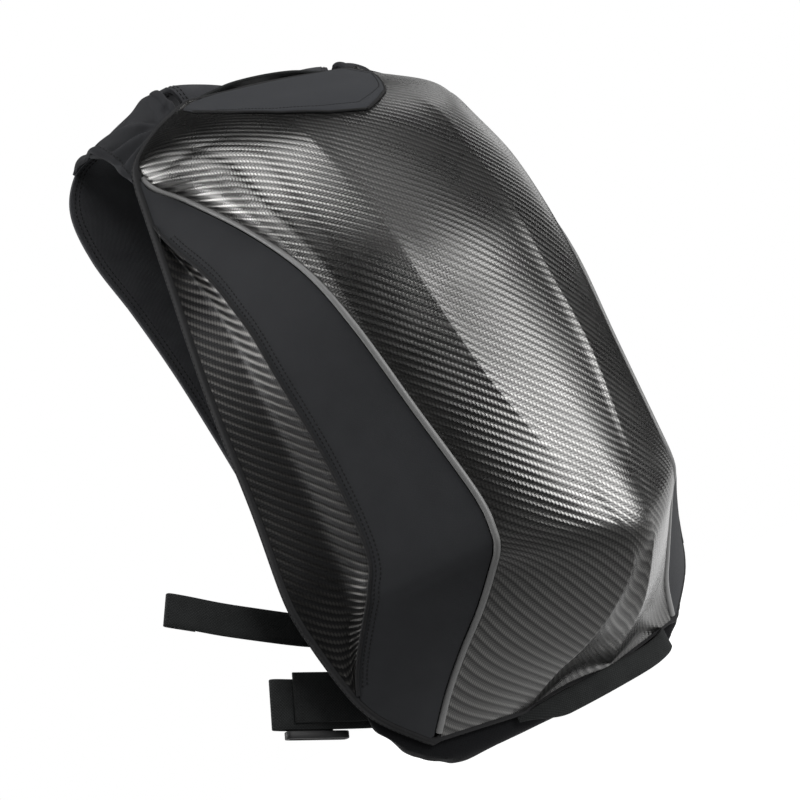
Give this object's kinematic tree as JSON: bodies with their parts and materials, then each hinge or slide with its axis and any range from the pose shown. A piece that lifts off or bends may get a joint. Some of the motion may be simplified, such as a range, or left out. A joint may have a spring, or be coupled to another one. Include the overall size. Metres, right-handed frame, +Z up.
{
  "type": "helmet backpack",
  "caption": "Hard-shell rider's backpack with a carbon-weave moulded front, dished side insets, silver piping, padded back, shoulder straps and a stowed waist belt.",
  "frame": {"origin": "middle of the whole bag's footprint box, on the surface it stands on", "axes": "+Z up, the shell faces -Y, the padded back and the straps are on the +Y side, +X is to the right of someone who looks at the shell"},
  "size_m": [0.394, 0.2466, 0.5226],
  "materials": {
    "carbon_skin": "semi-gloss coated twill moulded over foam",
    "panel_fabric": "matte coated fabric",
    "patch_fabric": "matte smooth fabric",
    "piping": "satin silver-grey piping",
    "binding_tape": "woven tape",
    "padding_fabric": "padded mesh fabric",
    "yoke_fabric": "gathered stretch fabric",
    "webbing": "ribbed webbing",
    "buckle_plastic": "moulded plastic"
  },
  "bodies": {
    "root": {"shell": "carbon_skin", "side_inset_left": "carbon_skin", "side_inset_right": "carbon_skin", "top_patch": "patch_fabric", "side_panel_left": "panel_fabric", "side_panel_right": "panel_fabric", "piping_left": "piping", "piping_right": "piping", "inset_seam_left": "binding_tape", "inset_seam_right": "binding_tape", "edge_binding": "binding_tape", "back_panel": "padding_fabric", "shoulder_strap_left": "padding_fabric", "shoulder_strap_right": "padding_fabric", "strap_yoke_left": "yoke_fabric", "strap_yoke_right": "yoke_fabric", "grab_handle": "webbing", "strap_tail_left": "webbing", "strap_tail_right": "webbing", "strap_webbing_left": "webbing", "strap_webbing_right": "webbing", "waist_belt_left": "webbing", "waist_belt_right": "webbing", "strap_adjuster_left": "buckle_plastic", "strap_adjuster_right": "buckle_plastic", "waist_belt_slider": "buckle_plastic"}
  },
  "joints": []
}
